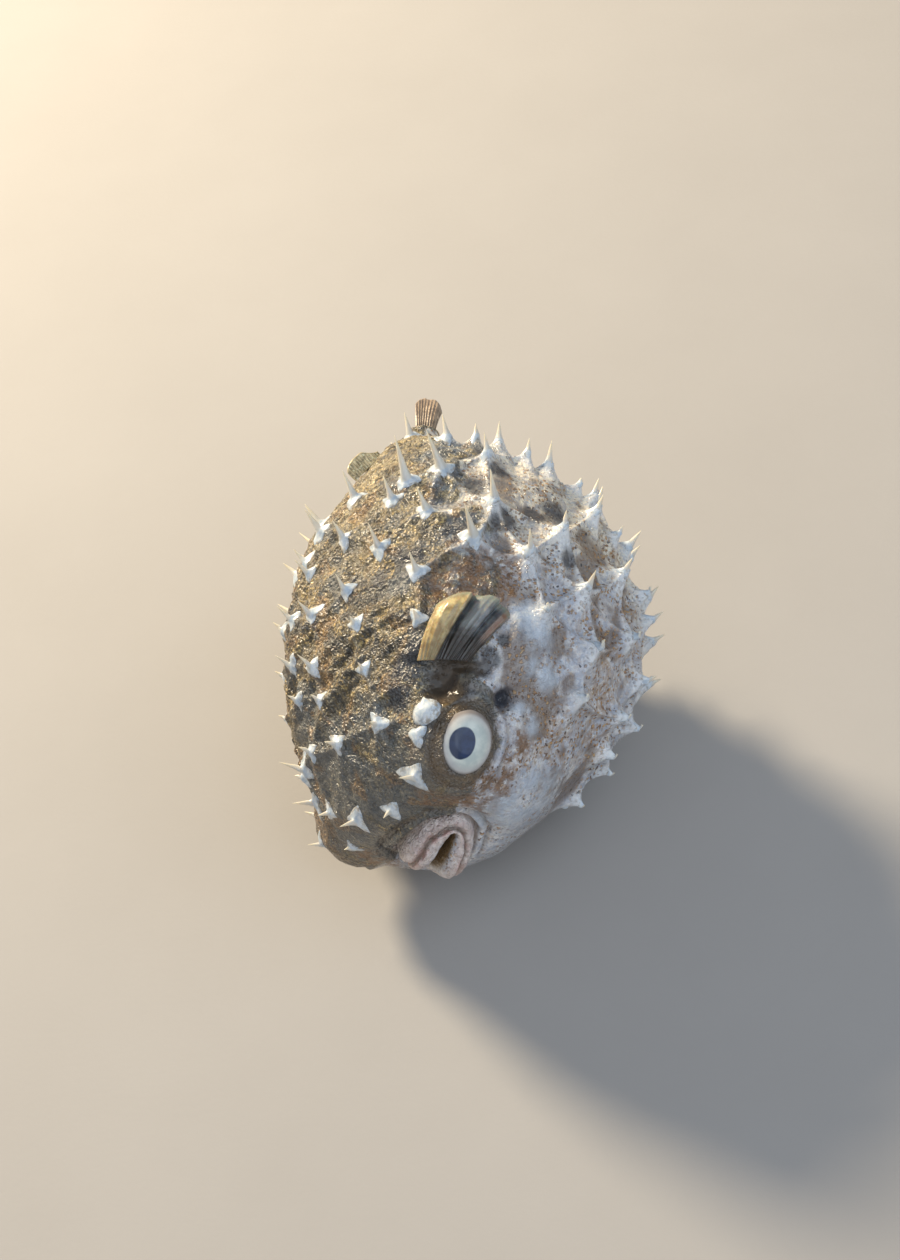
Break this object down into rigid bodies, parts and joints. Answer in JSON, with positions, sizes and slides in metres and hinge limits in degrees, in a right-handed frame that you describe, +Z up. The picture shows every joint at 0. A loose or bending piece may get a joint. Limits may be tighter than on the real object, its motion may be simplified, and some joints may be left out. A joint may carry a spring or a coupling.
{
  "type": "porcupine pufferfish",
  "caption": "Inflated porcupine pufferfish lying on its right side, a spiny ball with beak-like lips, eyes, folded fins and a short tail.",
  "frame": {"origin": "bottom centre of the bounding box, on the floor under the ball", "axes": "+Z up, the snout towards -Y, the tail towards +Y; the fish lies on its right side, so its back is towards -X and its left side faces up and +X"},
  "size_m": [0.0734, 0.0976, 0.0698],
  "materials": {
    "skin": "wet fish skin with white bony spines",
    "fin": "thin moist membrane over fin rays",
    "eye": "moist clouded eye"
  },
  "bodies": {
    "root": {"head": "skin", "trunk": "skin", "tail_stalk": "skin", "caudal_fin": "fin", "dorsal_fin": "fin", "anal_fin": "fin", "pectoral_fin_left": "fin", "pectoral_fin_right": "fin", "eye_left": "eye", "eye_right": "eye"}
  },
  "joints": []
}
